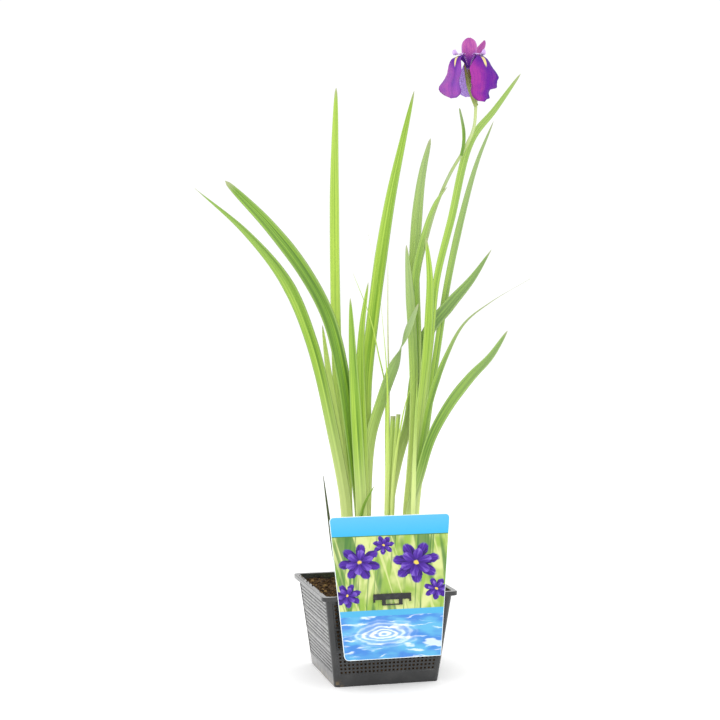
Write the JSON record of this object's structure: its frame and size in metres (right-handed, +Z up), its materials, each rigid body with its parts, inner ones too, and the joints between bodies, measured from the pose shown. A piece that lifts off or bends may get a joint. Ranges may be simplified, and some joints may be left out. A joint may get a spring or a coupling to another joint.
{
  "type": "potted japanese iris",
  "caption": "Flowering water iris with upright sword leaves in a square mesh pond basket of soil, with a picture label clipped to the rim.",
  "frame": {"origin": "middle of the basket's flat base, on the surface it stands on", "axes": "+Z up the plant, +X along the basket's front to the right, +Y to the basket's back; the label hangs on the front, towards -Y"},
  "size_m": [0.3207, 0.148, 0.6071],
  "materials": {
    "basket": "satin",
    "soil": "matte",
    "label_card": "satin",
    "clip": "satin",
    "leaf": "satin",
    "dry_blade": "matte",
    "stem": "satin",
    "fall": "matte",
    "style_arm": "matte",
    "standard": "matte"
  },
  "bodies": {
    "root": {"basket": "basket", "soil": "soil", "label": "label_card", "label_clip": "clip", "leaf_a1": "leaf", "leaf_a2": "leaf", "leaf_a3": "leaf", "leaf_a4": "leaf", "leaf_b1": "leaf", "leaf_b2": "leaf", "leaf_b3": "leaf", "leaf_b4": "leaf", "leaf_b5": "leaf", "leaf_b6": "leaf", "leaf_c1": "leaf", "leaf_d1": "leaf", "leaf_d2": "leaf", "leaf_d3": "leaf", "leaf_d4": "leaf", "leaf_d5": "leaf", "leaf_d6": "leaf", "leaf_d7": "leaf", "sheath_leaf": "leaf", "young_leaf_1": "leaf", "young_leaf_2": "leaf", "dry_blade": "dry_blade", "grass_1": "dry_blade", "grass_3": "dry_blade", "wisp": "leaf", "grass_2": "leaf", "cut_stub_1": "leaf", "cut_stub_2": "leaf", "flower_stem": "stem", "stem_bract": "leaf", "spathe": "stem", "ovary": "stem", "fall_1": "fall", "style_arm_1": "style_arm", "fall_2": "fall", "style_arm_2": "style_arm", "fall_3": "fall", "style_arm_3": "style_arm", "standard_1": "standard", "standard_2": "standard", "standard_3": "standard"}
  },
  "joints": []
}
